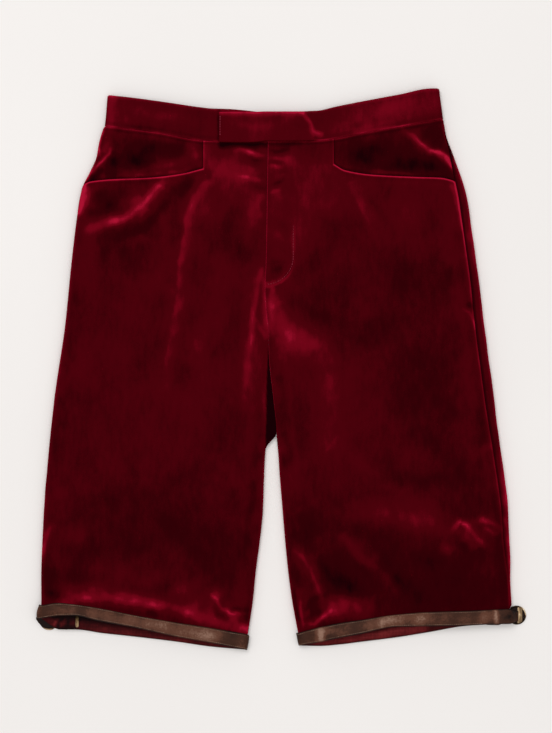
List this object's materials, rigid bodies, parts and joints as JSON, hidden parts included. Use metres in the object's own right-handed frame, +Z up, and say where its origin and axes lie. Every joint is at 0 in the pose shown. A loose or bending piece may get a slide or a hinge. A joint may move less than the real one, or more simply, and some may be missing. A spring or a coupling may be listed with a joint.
{
  "type": "velvet shorts",
  "caption": "Knee-length velvet shorts lying flat, front up: lapped waistband, curved front pockets, J-shaped fly, and leather hem straps with small ring buckles.",
  "frame": {"origin": "centre of the bounding box's underside, on the surface the shorts lie on", "axes": "+Z up from the surface, +Y towards the waist, +X towards the wearer's left"},
  "size_m": [0.5884, 0.6743, 0.0202],
  "materials": {
    "velvet": "soft pile",
    "leather": "smooth, worn",
    "brass": "antiqued"
  },
  "bodies": {
    "root": {"front_right": "velvet", "front_left": "velvet", "fly": "velvet", "back_right": "velvet", "back_left": "velvet", "pocket_facing_right": "velvet", "pocket_facing_left": "velvet", "waistband_right": "velvet", "waistband_left": "velvet", "hem_strap_right": "leather", "hem_strap_left": "leather", "buckle_right": "brass", "buckle_left": "brass", "keeper_right": "brass"}
  },
  "joints": []
}
